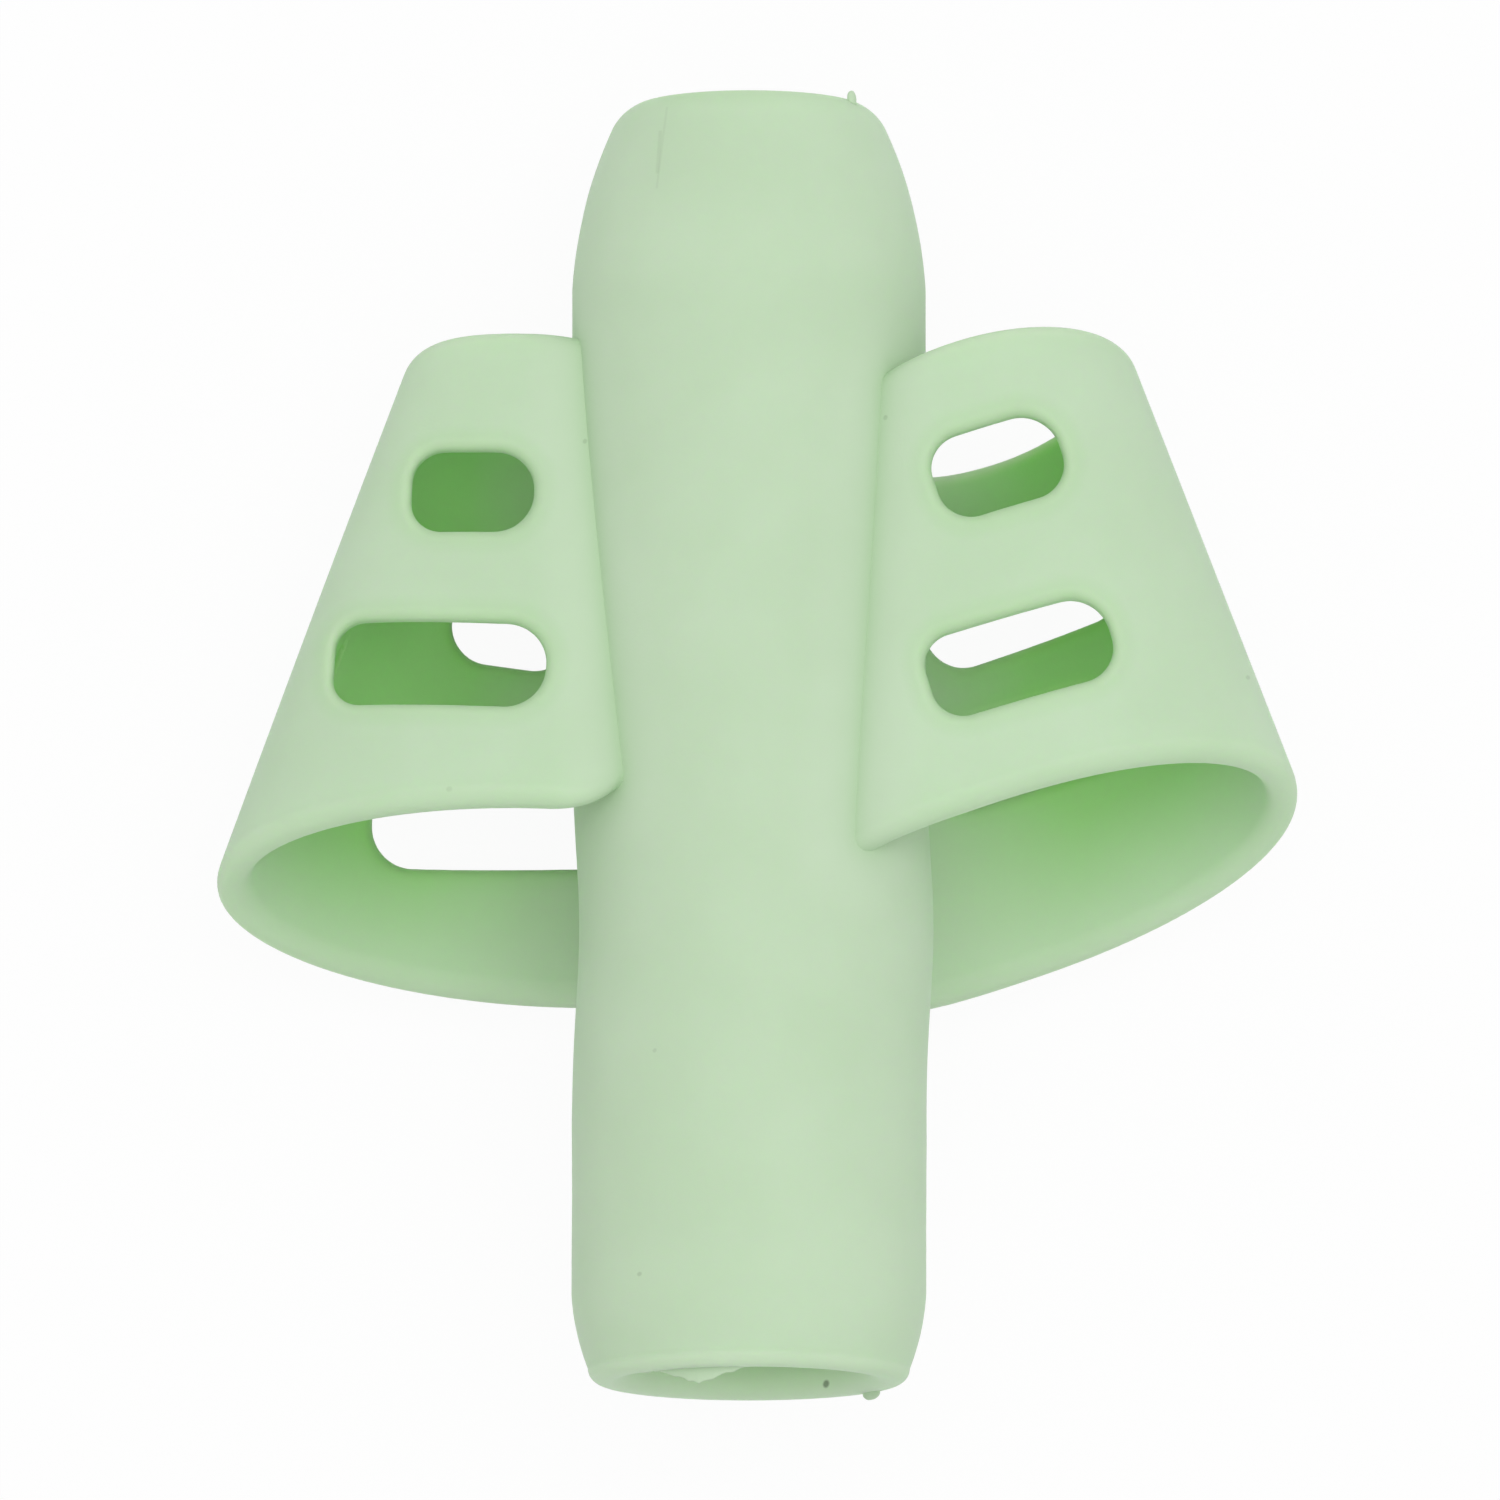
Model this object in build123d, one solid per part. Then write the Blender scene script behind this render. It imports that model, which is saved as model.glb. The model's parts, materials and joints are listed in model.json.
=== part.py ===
"""Two-finger pencil grip: a rubber pencil sleeve with a slotted finger cup on each side of it.

The grip is drawn about the sleeve, with the sleeve's axis along +Y, the tail at y = 0 and the front
towards +Z. It is then laid down as it lies on a table, on its nose and the backs of its cups.
Lengths are in millimetres and angles in degrees.
"""

import os
from dataclasses import dataclass
from math import atan2, cos, degrees, pi, sin

from build123d import *

# Sleeve: a straight bore with a lead-in at the tail, a barrel, a tapered nose and two rounded rims
BORE_RADIUS = 3.5
SLEEVE_WALL = 2.5
SLEEVE_LENGTH = 43.65
NOSE_LENGTH = 6.25
NOSE_SWELL = 0.26
NOSE_RIM_ROUND = 0.85
NOSE_RIM_FLAT = 0.32
TAIL_LENGTH = 3.0
TAIL_SWELL = 0.1
TAIL_DRAW_IN = 0.55
TAIL_RIM_ROUND = 0.5
TAIL_RIM_FLAT = 0.25
LEAD_LENGTH = 1.5

# Cups: one wall thickness, and a running gap where each cup's root seats on the sleeve
CUP_WALL = 1.1
ROOT_GAP = 0.05
RIM_OVERRUN = 2.0
SLOT_OVERRUN = 4.0
RING_POINTS = 48

SLEEVE_RADIUS = BORE_RADIUS + SLEEVE_WALL
SHOULDER = SLEEVE_LENGTH - NOSE_LENGTH
NOSE_RADIUS = BORE_RADIUS + NOSE_RIM_FLAT + NOSE_RIM_ROUND
TAIL_RADIUS = SLEEVE_RADIUS - TAIL_DRAW_IN
LEAD_RADIUS = TAIL_RADIUS - TAIL_RIM_ROUND - TAIL_RIM_FLAT


@dataclass
class Rim:
    """One open end of a cup.

    Its middle lies set back from the nose's shoulder, offset from the sleeve's surface and frontward
    of the sleeve's axis. Its plane rises outward. Its outline reaches out from the middle and back in
    to the sleeve, is twice its depth from front to back, and is an ellipse where squareness is 2.
    """

    setback: float
    offset: float
    frontward: float
    rise: float
    reach_out: float
    reach_in: float
    depth: float
    square_out: float
    square_in: float


@dataclass
class Slot:
    """A slot seen from the front, set back from the shoulder and out from the sleeve's surface.

    Its corners are rounded by a share of half its height, at its outer end and at its inner end.
    """

    setback: float
    out: float
    rise: float
    length: float
    height: float
    round_out: float
    round_in: float


@dataclass
class Cup:
    """A finger cup. Its side is -1 on the left and 1 on the right; lean and yaw turn its rims."""

    side: int
    lean: float
    yaw: float
    tip: Rim
    mouth: Rim
    front_slots: tuple
    back_slots: tuple


LEFT_CUP = Cup(
    side=-1,
    lean=20.5,
    yaw=7.0,
    tip=Rim(
        setback=3.05,
        offset=1.0,
        frontward=-2.2,
        rise=1.0,
        reach_out=4.52,
        reach_in=4.0,
        depth=4.2,
        square_out=2.9,
        square_in=2.8,
    ),
    mouth=Rim(
        setback=20.87,
        offset=0.8,
        frontward=-2.1,
        rise=2.0,
        reach_out=11.5,
        reach_in=5.0,
        depth=7.8,
        square_out=1.97,
        square_in=2.6,
    ),
    front_slots=(
        Slot(setback=7.25, out=3.35, rise=2.0, length=4.15, height=2.85, round_out=0.75, round_in=0.95),
        Slot(setback=13.25, out=4.45, rise=3.5, length=7.2, height=2.95, round_out=0.65, round_in=0.95),
    ),
    back_slots=(
        Slot(setback=10.65, out=2.05, rise=8.0, length=4.15, height=2.75, round_out=0.95, round_in=0.95),
        Slot(setback=17.4, out=2.65, rise=0.0, length=8.4, height=2.85, round_out=0.95, round_in=0.95),
    ),
)
RIGHT_CUP = Cup(
    side=1,
    lean=18.0,
    yaw=0.0,
    tip=Rim(
        setback=3.9,
        offset=1.7,
        frontward=-0.6,
        rise=17.0,
        reach_out=5.52,
        reach_in=5.0,
        depth=5.6,
        square_out=1.95,
        square_in=2.2,
    ),
    mouth=Rim(
        setback=20.37,
        offset=2.9,
        frontward=-1.65,
        rise=18.6,
        reach_out=10.38,
        reach_in=7.2,
        depth=7.75,
        square_out=2.13,
        square_in=2.02,
    ),
    front_slots=(
        Slot(setback=6.72, out=2.43, rise=18.0, length=4.45, height=2.9, round_out=0.9, round_in=0.8),
        Slot(setback=13.28, out=3.15, rise=17.0, length=6.4, height=2.9, round_out=0.9, round_in=0.75),
    ),
    back_slots=(
        Slot(setback=10.0, out=3.3, rise=19.0, length=7.0, height=2.8, round_out=0.95, round_in=0.95),
        Slot(setback=15.0, out=3.4, rise=17.0, length=6.6, height=2.7, round_out=0.95, round_in=0.95),
    ),
)


def rim_axes(cup, rise):
    """The outward, upward and frontward directions of a cup's section that rises outward."""
    turned = Rotation(0, -cup.yaw, 0) * Rotation(0, 0, cup.side * rise) * Rotation(-cup.lean, 0, 0)
    plane = Plane(turned)
    return plane.x_dir * cup.side, plane.y_dir, plane.z_dir


def rim_middle(cup, rim):
    """The middle of a rim, placed from the sleeve's surface and the nose's shoulder."""
    return Vector(cup.side * (SLEEVE_RADIUS + rim.offset), SHOULDER - rim.setback, rim.frontward)


def signed_power(value, power):
    """A power that keeps the sign of its base."""
    return abs(value) ** power if value >= 0 else -(abs(value) ** power)


def rim_point(cup, rim, turn, inset):
    """A point of a rim's outline, inset by part of the wall."""
    outward, _, frontward = rim_axes(cup, rim.rise)
    outer_side = cos(turn) >= 0
    reach = (rim.reach_out if outer_side else rim.reach_in) - inset
    square = rim.square_out if outer_side else rim.square_in
    across = reach * signed_power(cos(turn), 2 / square)
    along = (rim.depth - inset) * signed_power(sin(turn), 2 / square)
    return rim_middle(cup, rim) + outward * across + frontward * along


def cup_ring(cup, station, inset):
    """The closed outline of a cup at a station from 0 at the tip to 1 at the mouth."""
    points = []
    for step in range(RING_POINTS):
        turn = 2 * pi * step / RING_POINTS
        tip = rim_point(cup, cup.tip, turn, inset)
        mouth = rim_point(cup, cup.mouth, turn, inset)
        points.append(tip + (mouth - tip) * station)
    return Wire([Spline(*points, periodic=True)])


def slot_outline(slot):
    """A slot's flat outline, with its outer end towards +X."""
    outline = Rectangle(slot.length, slot.height)
    outline = fillet(outline.vertices().group_by(Axis.X)[-1], slot.round_out * slot.height / 2)
    return fillet(outline.vertices().group_by(Axis.X)[0], slot.round_in * slot.height / 2)


def slot_cutter(cup, slot, facing):
    """A slot's prism, drawn straight through one wall: facing is 1 for the front and -1 for the back."""
    middle = Vector(cup.side * (SLEEVE_RADIUS + slot.out), SHOULDER - slot.setback, cup.mouth.frontward)
    outward = Vector(cup.side, 0, 0).rotate(Axis.Z, cup.side * slot.rise)
    plane = Plane(middle, x_dir=outward, z_dir=(0, 0, facing))
    return extrude(plane * slot_outline(slot), cup.mouth.depth + SLOT_OVERRUN)


def build_cup(cup, seat):
    """A cup's tapered wall, cut back to its seat on the sleeve and slotted front and back."""
    overrun = RIM_OVERRUN / (rim_middle(cup, cup.tip) - rim_middle(cup, cup.mouth)).length
    outside = Solid.make_loft([cup_ring(cup, 0, 0), cup_ring(cup, 1, 0)], ruled=True)
    hollow_ends = [cup_ring(cup, station, CUP_WALL) for station in (-overrun, 1 + overrun)]
    shell = Part() + outside
    shell -= Solid.make_loft(hollow_ends, ruled=True)
    shell -= seat
    for slot in cup.front_slots:
        shell -= slot_cutter(cup, slot, 1)
    for slot in cup.back_slots:
        shell -= slot_cutter(cup, slot, -1)
    return shell


def nose_curve():
    """The nose's outline, from the shoulder to the start of its rounded rim."""
    start = (SLEEVE_RADIUS, SHOULDER)
    end = (NOSE_RADIUS, SLEEVE_LENGTH - NOSE_RIM_ROUND)
    middle = ((start[0] + end[0]) / 2 + NOSE_SWELL, (start[1] + end[1]) / 2)
    return ThreePointArc(start, middle, end)


def build_sleeve():
    """The sleeve, turned about its axis: lead-in, tail rim, tail, barrel, nose, nose rim and bore."""
    lead = TangentArc((BORE_RADIUS, LEAD_LENGTH), (LEAD_RADIUS, 0), tangent=(0, -1))
    tail_rim = TangentArc((TAIL_RADIUS - TAIL_RIM_ROUND, 0), (TAIL_RADIUS, TAIL_RIM_ROUND), tangent=(1, 0))
    tail_middle = ((TAIL_RADIUS + SLEEVE_RADIUS) / 2 + TAIL_SWELL, (TAIL_RIM_ROUND + TAIL_LENGTH) / 2)
    tail = ThreePointArc(tail_rim @ 1, tail_middle, (SLEEVE_RADIUS, TAIL_LENGTH))
    nose = nose_curve()
    nose_rim = TangentArc(nose @ 1, (NOSE_RADIUS - NOSE_RIM_ROUND, SLEEVE_LENGTH), tangent=nose % 1)
    bore = Polyline(nose_rim @ 1, (BORE_RADIUS, SLEEVE_LENGTH), lead @ 0)
    outline = [lead, Line(lead @ 1, tail_rim @ 0), tail_rim, tail, Line(tail @ 1, nose @ 0), nose, nose_rim, bore]
    return revolve(make_face(outline), Axis.Y)


def rest_tilt(cups):
    """The angle that brings the lowest back rim down level with the first of the nose and the tips."""
    turns = [2 * pi * step / RING_POINTS for step in range(RING_POINTS)]
    foot = min((rim_point(cup, cup.mouth, turn, 0) for cup in cups for turn in turns), key=lambda point: point.Z)
    tips = [rim_point(cup, cup.tip, turn, 0) for cup in cups for turn in turns]
    nose = nose_curve()
    contacts = [nose @ (step / RING_POINTS) for step in range(RING_POINTS + 1)]
    contacts += [Vector(-tip.Z, tip.Y) for tip in tips]
    return min(atan2(-foot.Z - contact.X, contact.Y - foot.Y) for contact in contacts)


def main():
    """Build the three members, lay them down together and write one file for each."""
    seat = Rotation(90, 0, 0) * Cylinder(SLEEVE_RADIUS + ROOT_GAP, 3 * SLEEVE_LENGTH)
    members = {
        "pencil_sleeve": build_sleeve(),
        "left_finger_cup": build_cup(LEFT_CUP, seat),
        "right_finger_cup": build_cup(RIGHT_CUP, seat),
    }
    tilt = rest_tilt((LEFT_CUP, RIGHT_CUP))
    laid = {name: Rotation(-degrees(tilt), 0, 0) * member for name, member in members.items()}
    box = Compound([solid for member in laid.values() for solid in member.solids()]).bounding_box()
    shift = Pos(-box.center().X, -box.center().Y, -box.min.Z)
    os.makedirs("parts", exist_ok=True)
    for name, member in laid.items():
        export_step(shift * member, f"parts/{name}.step")
    print("rest tilt", round(degrees(tilt), 4), "then shift", shift.position, "box", box.size)


if __name__ == "__main__":
    main()
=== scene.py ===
"""Mint silicone pencil grip: a pencil sleeve with a slotted finger cup on each side of it.

The sleeve is turned from its profile by Geometry Nodes. Each cup is drawn as a distance field, so that its
lips, slots and root are rounded as in a soft moulding, and is then meshed. Lengths are in metres.
"""

import json
import math

import bpy
import numpy as np
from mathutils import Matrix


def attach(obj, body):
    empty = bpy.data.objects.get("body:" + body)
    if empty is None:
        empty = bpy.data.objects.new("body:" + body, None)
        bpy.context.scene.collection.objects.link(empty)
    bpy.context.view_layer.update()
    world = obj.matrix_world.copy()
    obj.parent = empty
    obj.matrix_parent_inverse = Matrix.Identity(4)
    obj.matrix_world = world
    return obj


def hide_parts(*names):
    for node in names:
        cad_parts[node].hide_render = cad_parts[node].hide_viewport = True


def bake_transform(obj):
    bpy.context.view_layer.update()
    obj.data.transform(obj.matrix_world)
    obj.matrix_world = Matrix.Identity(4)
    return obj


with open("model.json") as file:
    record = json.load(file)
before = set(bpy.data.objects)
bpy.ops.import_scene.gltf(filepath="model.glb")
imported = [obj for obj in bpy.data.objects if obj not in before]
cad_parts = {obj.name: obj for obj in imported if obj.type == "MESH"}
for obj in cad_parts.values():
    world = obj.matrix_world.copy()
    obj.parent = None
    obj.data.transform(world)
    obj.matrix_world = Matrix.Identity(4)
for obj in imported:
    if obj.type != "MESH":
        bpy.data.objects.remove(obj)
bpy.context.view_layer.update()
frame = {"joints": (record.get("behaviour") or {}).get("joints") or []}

import openvdb
from bpy.props import FloatProperty, FloatVectorProperty, IntProperty, PointerProperty
from mathutils import Matrix, Vector

bl_info = {
    "name": "Pencil grip",
    "version": (1, 0, 0),
    "blender": (4, 5, 0),
    "location": "3D View > Sidebar > Pencil grip",
    "description": "Makes a silicone pencil grip with two slotted finger cups",
    "category": "Mesh",
}

MM = 0.001
SLOT_FACES = (("front_tip_slot", 1), ("front_mouth_slot", 1), ("back_tip_slot", -1), ("back_mouth_slot", -1))

# Share of the nose rim's flat that its inner edge rounds off
NOSE_EDGE = 0.6

# Where the sleeve's wall stops being uneven, from the tail's end, and over how much it does so
QUIET_FROM = 12 * MM
QUIET_FADE = 2 * MM

# How far the painted shade reaches: by roots, by edges, into mouths, off the sleeve, along the bore and to
# the front
ROOT_REACH = 2.2 * MM
EDGE_REACH = 0.9 * MM
MOUTH_FADE = 5.5 * MM
SLEEVE_FADE = 4.4 * MM
BORE_FADE = 12 * MM
FRONT_FADE = 2 * MM

# The share of root at which the silicone lets no light in
OPAQUE_ROOT = 0.75

# The torn flash's sizes as its tree's inputs, the shares of its height that its edge and its tooth have,
# how far its foot runs into the rim and how fast its ends taper
FLASH_LENGTHS = ("Radius", "Base", "Height", "Thickness", "Start", "End", "Tooth", "Tooth Spread")
RAGGED_SHARE = 0.3
TOOTH_SHARE = 0.85
FLASH_FOOT = 0.3 * MM
FLASH_TAPER = 9.0

# Nubs on the rims of the nose and the tail, as (degrees from the front, inset, along, size) in millimetres
NUBS = ((59, 0.6, -0.05, (0.2, 0.3, 0.14)), (123, 0.5, -0.02, (0.5, 0.24, 0.12)))

# Mesh steps that a cup's field is kept for on each side of its surface, and rounds of evening out its mesh
FIELD_BAND = 8.0
EVENING_ROUNDS = 6

# The floor's colour, how plainly white it is shown so that a faint shadow stays, and the lamp's lean
FLOOR_GREY = 0.86
FLOOR_WHITE = 0.94
KEY_LEAN = (0.12, 0.18)

# The moulded skin's scales, the noise at which dusty patches start and end, and how strongly they show
SKIN_SCALES = {"Grain Scale": 9000.0, "Wave Scale": 700.0, "Patch Scale": 190.0}
PATCH_RANGE = (0.38, 0.68)
PATCH_SHARE = 0.5
GRAIN_ROUGHNESS = 0.12

# Specks and scratches as (start, end, width, facing, strength) in the sleeve's own axes, in millimetres,
# and how far behind the sleeve's axis, or in front of it, they still show
MARK_SIZES = ("Start X", "Start Y", "End X", "End Y", "Width")
MARK_DEPTH = 1.5 * MM
SKIN_MARKS = (
    ((-3.70, 3.13), (-3.68, 3.14), 0.09, 1, 0.22),
    ((-3.19, 10.68), (-3.17, 10.70), 0.08, 1, 0.14),
    ((4.61, 32.37), (4.62, 32.40), 0.09, 1, 0.22),
    ((-5.56, 31.80), (-5.55, 31.83), 0.09, 1, 0.22),
    ((-10.14, 19.65), (-10.10, 19.66), 0.11, 1, 0.12),
    ((16.90, 23.97), (16.92, 24.00), 0.09, 1, 0.18),
    ((2.61, 0.33), (2.62, 0.35), 0.13, -1, 0.75),
    ((-2.78, 43.09), (-3.12, 40.20), 0.05, 1, 0.07),
    ((-3.00, 42.20), (-3.10, 40.75), 0.08, 1, 0.09),
)


def length(label, millimetres, description):
    """A size that is edited as a length."""
    metres = millimetres * MM
    return FloatProperty(name=label, description=description, default=metres, unit="LENGTH", precision=5)


def angle(label, degrees, description):
    """A size that is edited as an angle."""
    return FloatProperty(name=label, description=description, default=math.radians(degrees), subtype="ANGLE")


def ratio(label, value, description):
    """A size without a unit."""
    return FloatProperty(name=label, description=description, default=value)


def colour(label, value, description):
    """A linear colour."""
    limits = {"min": 0, "max": 1}
    return FloatVectorProperty(name=label, description=description, default=value, subtype="COLOR", **limits)


class SleeveSizes(bpy.types.PropertyGroup):
    """Sizes of the pencil sleeve."""

    bore_radius: length("Bore radius", 3.5, "Radius of the hole for the pencil")
    wall: length("Wall", 2.5, "Thickness of the barrel's wall")
    length: length("Length", 43.65, "From the tail's end to the nose's end")
    nose_length: length("Nose length", 6.25, "Length of the tapered nose")
    nose_swell: length("Nose swell", 0.26, "How far the nose bulges out of a straight taper")
    nose_round: length("Nose rim round", 0.85, "Radius of the nose rim's outer edge")
    nose_flat: length("Nose rim flat", 0.32, "Width of the flat of the nose's rim")
    tail_length: length("Tail length", 3.0, "Length over which the tail draws in")
    tail_swell: length("Tail swell", 0.1, "How far the tail bulges out of a straight taper")
    tail_draw_in: length("Tail draw-in", 0.55, "How far the tail's rim draws in from the barrel")
    tail_round: length("Tail rim round", 0.5, "Radius of the tail rim's outer edge")
    tail_flat: length("Tail rim flat", 0.25, "Width of the flat of the tail's rim")
    lead_length: length("Lead-in length", 1.5, "Depth of the flared lead-in at the tail")
    unevenness: length("Unevenness", 0.035, "How far the soft wall strays from round away from the cups")
    bow: length("Bow", 0.25, "How far the soft barrel bows to the right below the cups")
    bow_middle: length("Bow middle", 15.5, "Where the bow is greatest, from the tail's end")
    bow_spread: length("Bow spread", 3.5, "How far the bow runs along the barrel")
    steps_around: IntProperty(name="Steps around", description="Faces around the sleeve", default=200, min=16)
    seed: IntProperty(name="Seed", description="Seed of the wall's unevenness", default=7)

    @property
    def radius(self):
        """The barrel's outer radius."""
        return self.bore_radius + self.wall

    @property
    def shoulder(self):
        """Where the nose starts, from the tail's end."""
        return self.length - self.nose_length

    @property
    def nose_radius(self):
        """The nose's outer radius where its rim starts to round over."""
        return self.bore_radius + self.nose_flat + self.nose_round

    @property
    def tail_radius(self):
        """The tail's outer radius where its rim starts to round over."""
        return self.radius - self.tail_draw_in

    @property
    def lead_radius(self):
        """The lead-in's radius at the tail's end."""
        return self.tail_radius - self.tail_round - self.tail_flat


def settings_group(name, label, rows, values):
    """A property group with its own defaults. A row is a setting's name, kind, label and description."""
    sizes = {key: kind(title, value, words) for (key, kind, title, words), value in zip(rows, values)}
    return type(name, (bpy.types.PropertyGroup,), {"__doc__": label, "__annotations__": sizes})


RIM_ROWS = (
    ("setback", length, "Setback", "From the nose's shoulder back to the rim's middle"),
    ("offset", length, "Offset", "From the sleeve's surface out to the rim's middle"),
    ("frontward", length, "Frontward", "From the sleeve's axis to the front"),
    ("rise", angle, "Rise", "How much the rim's plane rises outward"),
    ("reach_out", length, "Reach out", "From the rim's middle outward"),
    ("reach_in", length, "Reach in", "From the rim's middle towards the sleeve"),
    ("depth", length, "Depth", "From the rim's middle to its front or back"),
    ("square_out", ratio, "Squareness out", "2 is an ellipse, more is squarer, away from the sleeve"),
    ("square_in", ratio, "Squareness in", "2 is an ellipse, more is squarer, on the sleeve's side"),
)
SLOT_ROWS = (
    ("setback", length, "Setback", "From the nose's shoulder back to the slot's middle"),
    ("out", length, "Out", "From the sleeve's surface out to the slot's middle"),
    ("rise", angle, "Rise", "How much the slot rises outward"),
    ("long", length, "Length", "From end to end of the slot"),
    ("high", length, "Height", "Across the slot"),
    ("round_out", ratio, "Round out", "Rounding of the outer corners, as a share of half the height"),
    ("round_in", ratio, "Round in", "Rounding of the inner corners, as a share of half the height"),
)
CUP_ROWS = (
    ("lean", angle, "Lean", "How much the cup's mouth tips back from the sleeve"),
    ("yaw", angle, "Yaw", "How much the cup turns about the sleeve"),
    ("mouth_climb", length, "Mouth climb", "How far the mouth's lip climbs at its root in front"),
    ("tip_drop", length, "Tip drop", "How far the tip's lip drops at its root in front"),
)


def cup_groups(side, cup_sizes, part_sizes):
    """Property groups for one cup: its rims and slots, and last the cup that is made of them."""
    parts = {}
    for part, values in part_sizes.items():
        words = part.replace("_", " ")
        rows = SLOT_ROWS if part.endswith("slot") else RIM_ROWS
        name = side + words.title().replace(" ", "")
        parts[part] = settings_group(name, f"{side} cup's {words}", rows, values)
    cup = settings_group(f"{side}Cup", f"Sizes of the {side.lower()} cup", CUP_ROWS, cup_sizes)
    cup.__annotations__.update({part: PointerProperty(type=group) for part, group in parts.items()})
    return (*parts.values(), cup)


# A cup's own sizes and those of its rims and slots, in the order of the rows above
LEFT_GROUPS = cup_groups(
    "Left",
    (20.5, 7, 1.1, 0.25),
    {
        "tip": (3.05, 1.0, -2.2, 1, 4.52, 4.0, 4.2, 2.9, 2.8),
        "mouth": (20.87, 0.8, -2.1, 2, 11.5, 5.0, 7.8, 1.97, 2.6),
        "front_tip_slot": (7.25, 3.35, 2, 4.15, 2.85, 0.75, 0.95),
        "front_mouth_slot": (13.25, 4.45, 3.5, 7.2, 2.95, 0.65, 0.95),
        "back_tip_slot": (10.65, 2.05, 8, 4.15, 2.75, 0.95, 0.95),
        "back_mouth_slot": (17.4, 2.65, 0, 8.4, 2.85, 0.95, 0.95),
    },
)
RIGHT_GROUPS = cup_groups(
    "Right",
    (18, 0, 0, 0),
    {
        "tip": (3.9, 1.7, -0.6, 17, 5.52, 5.0, 5.6, 1.95, 2.2),
        "mouth": (20.37, 2.9, -1.65, 18.6, 10.38, 7.2, 7.75, 2.13, 3.2),
        "front_tip_slot": (6.72, 2.43, 18, 4.45, 2.9, 0.9, 0.8),
        "front_mouth_slot": (13.28, 3.15, 17, 6.4, 2.9, 0.9, 0.75),
        "back_tip_slot": (10.0, 3.3, 19, 7.0, 2.8, 0.95, 0.95),
        "back_mouth_slot": (14.85, 3.4, 17, 6.6, 2.7, 0.95, 0.95),
    },
)


class CupWall(bpy.types.PropertyGroup):
    """Sizes that both cups share."""

    wall: length("Wall", 1.1, "Thickness of the cups' walls")
    lip_round: length("Lip round", 0.5, "Radius of the rims' edges")
    slot_round: length("Slot round", 0.42, "Radius of the slots' edges")
    bury: length("Bury", 1.3, "How deep the root runs into the sleeve's wall")
    mesh_step: length("Mesh step", 0.13, "Size of the faces of the cups")
    bend_start: length("Bend start", 2.5, "Where a cup starts to bend, from the sleeve's middle plane")
    bend_end: length("Bend end", 14.0, "Where a cup moves as a whole, from the sleeve's middle plane")


class FinishColours(bpy.types.PropertyGroup):
    """Colours and finish of the silicone."""

    mint: colour("Mint", (0.55, 0.70, 0.50), "The silicone's colour")
    pale_mint: colour("Pale mint", (0.60, 0.74, 0.555), "Colour of the paler, dusty patches")
    # Deep mint is painted shade: the saturated green of light bounced inside the cups' hollows and the bore,
    # and a deeper green at the slots' edges
    deep_shade_mint: colour("Deep mint", (0.30, 0.74, 0.14), "Colour that light takes on inside the silicone")
    # Crease mint is painted shade, darker, in the creases at the cups' roots, along the lips and at the
    # slots' edges, and faintly on the flash and the nubs
    crease_and_edge_shade_mint: colour("Crease mint", (0.36, 0.56, 0.30), "Colour of the creases and of the slots' edges")
    speck: colour("Speck", (0.10, 0.16, 0.08), "Colour of the specks of dirt")
    roughness: ratio("Roughness", 0.56, "Roughness of the moulded skin")
    translucency: ratio("Translucency", 0.85, "Share of light that enters the silicone away from the roots")


class StageSizes(bpy.types.PropertyGroup):
    """Camera, light and floor."""

    view_distance: length("View distance", 1200, "From the sleeve's middle up to the camera")
    view_lean: angle("View lean", 0.43, "How far the camera leans over to the nose's side")
    view_width: length("View width", 50.85, "Width of the frame at the sleeve's middle")
    view_right: length("View right", 0.035, "How far right of the sleeve's axis the view lies")
    view_up: length("View up", -0.212, "How far towards the nose the view lies")
    floor_size: length("Floor size", 3000, "Side of the floor")
    floor_drop: length("Floor drop", 2.1, "How far below the grip the floor lies, clear of the cups' swing")
    sky: ratio("Sky", 0.68, "Strength of the light from all round")
    key_power: FloatProperty(
        name="Key power", description="Power of the large soft lamp", default=1.45, unit="POWER"
    )
    key_size: length("Key size", 450, "Side of the large soft lamp")
    key_height: length("Key height", 600, "Height of the large soft lamp")


class FlashSizes(bpy.types.PropertyGroup):
    """The flash that the mould left on the sleeve's rims. Angles are from the front to the right."""

    radius: length("Radius", 4.5, "From the sleeve's axis to the torn flash")
    base: length("Base", 0.1, "From the tail's end to the foot of the torn flash")
    height: length("Height", 0.62, "Height of its longest tooth")
    thickness: length("Thickness", 0.14, "Thickness of the torn flash")
    start: angle("Start", -62, "Where the torn flash starts")
    end: angle("End", 6, "Where the torn flash ends")
    tooth: angle("Tooth", -22, "Where its longest tooth is")
    tooth_spread: angle("Tooth spread", 20, "Half the width of the longest tooth")
    nub_rough: length("Nub roughness", 0.06, "How far the nubs stray from round")
    seed: IntProperty(name="Seed", description="Changes the torn edge", default=3)


class GripSettings(bpy.types.PropertyGroup):
    """All the sizes and colours of the grip."""

    sleeve: PointerProperty(type=SleeveSizes)
    left: PointerProperty(type=LEFT_GROUPS[-1])
    right: PointerProperty(type=RIGHT_GROUPS[-1])
    cups: PointerProperty(type=CupWall)
    flash: PointerProperty(type=FlashSizes)
    finish: PointerProperty(type=FinishColours)
    stage: PointerProperty(type=StageSizes)


def sleeve_matrix(sleeve):
    """The sleeve's own axes, from the tail: x to the right cup, y along the bore and z to the front."""
    swing = frame["joints"][0]
    along = Vector(swing["axis"]).normalized()
    right = Vector((1, 0, 0))
    tail = Vector(swing["pos_m"]) - along * (sleeve.length + sleeve.lead_length) / 2
    matrix = Matrix((right, along, right.cross(along))).transposed().to_4x4()
    matrix.translation = tail
    return matrix


def new_piece(name, mesh, material):
    """An object for a finished mesh, in the scene."""
    mesh.materials.clear()
    mesh.materials.append(material)
    piece = bpy.data.objects.new(name, mesh)
    bpy.context.scene.collection.objects.link(piece)
    return piece


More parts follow.
